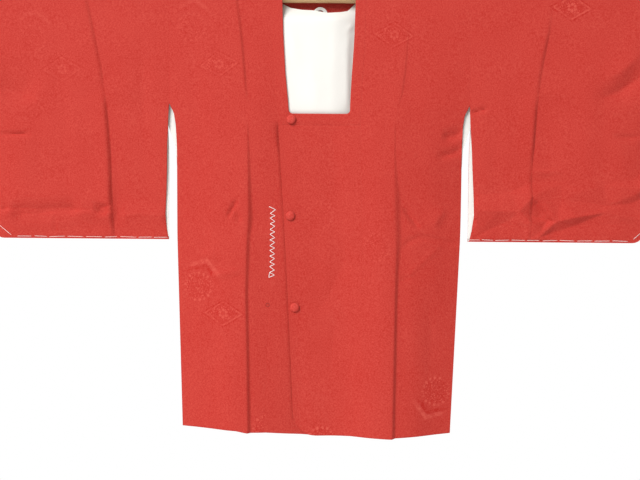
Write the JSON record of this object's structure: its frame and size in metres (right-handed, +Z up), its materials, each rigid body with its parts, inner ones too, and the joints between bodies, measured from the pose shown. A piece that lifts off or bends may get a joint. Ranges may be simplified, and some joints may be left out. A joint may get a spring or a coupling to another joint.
{
  "type": "michiyuki coat on a hanging rod",
  "caption": "Square-necked kimono coat with wide rectangular sleeves and a buttoned overlap, hung flat on a round wooden rod.",
  "frame": {"origin": "middle of the hanging rod, on its axis", "axes": "+X along the rod to the viewer's right, +Y away from the viewer with the coat's front facing -Y, +Z up"},
  "size_m": [1.42, 0.0629, 0.8804],
  "materials": {
    "red_crepe": "matte self-patterned silk crepe",
    "collar_crepe": "matte silk crepe, folded double",
    "button_crepe": "silk crepe stretched over a domed core",
    "white_lining": "smooth silk lining with a soft sheen",
    "loop_ribbon": "folded silk ribbon",
    "rod_wood": "satin pale wood"
  },
  "bodies": {
    "root": {"body_left": "red_crepe", "body_right": "red_crepe", "front_band_over": "red_crepe", "front_band_under": "red_crepe", "collar_left": "collar_crepe", "collar_right": "collar_crepe", "collar_back": "collar_crepe", "collar_front_over": "collar_crepe", "collar_front_under": "collar_crepe", "sleeve_left": "red_crepe", "sleeve_right": "red_crepe", "lining_back": "white_lining", "lining_slit_left": "white_lining", "lining_slit_right": "white_lining", "lining_furi_left": "white_lining", "lining_furi_right": "white_lining", "hanger_loop": "loop_ribbon", "button_top": "button_crepe", "button_middle": "button_crepe", "button_bottom": "button_crepe", "hanging_rod": "rod_wood"}
  },
  "joints": []
}
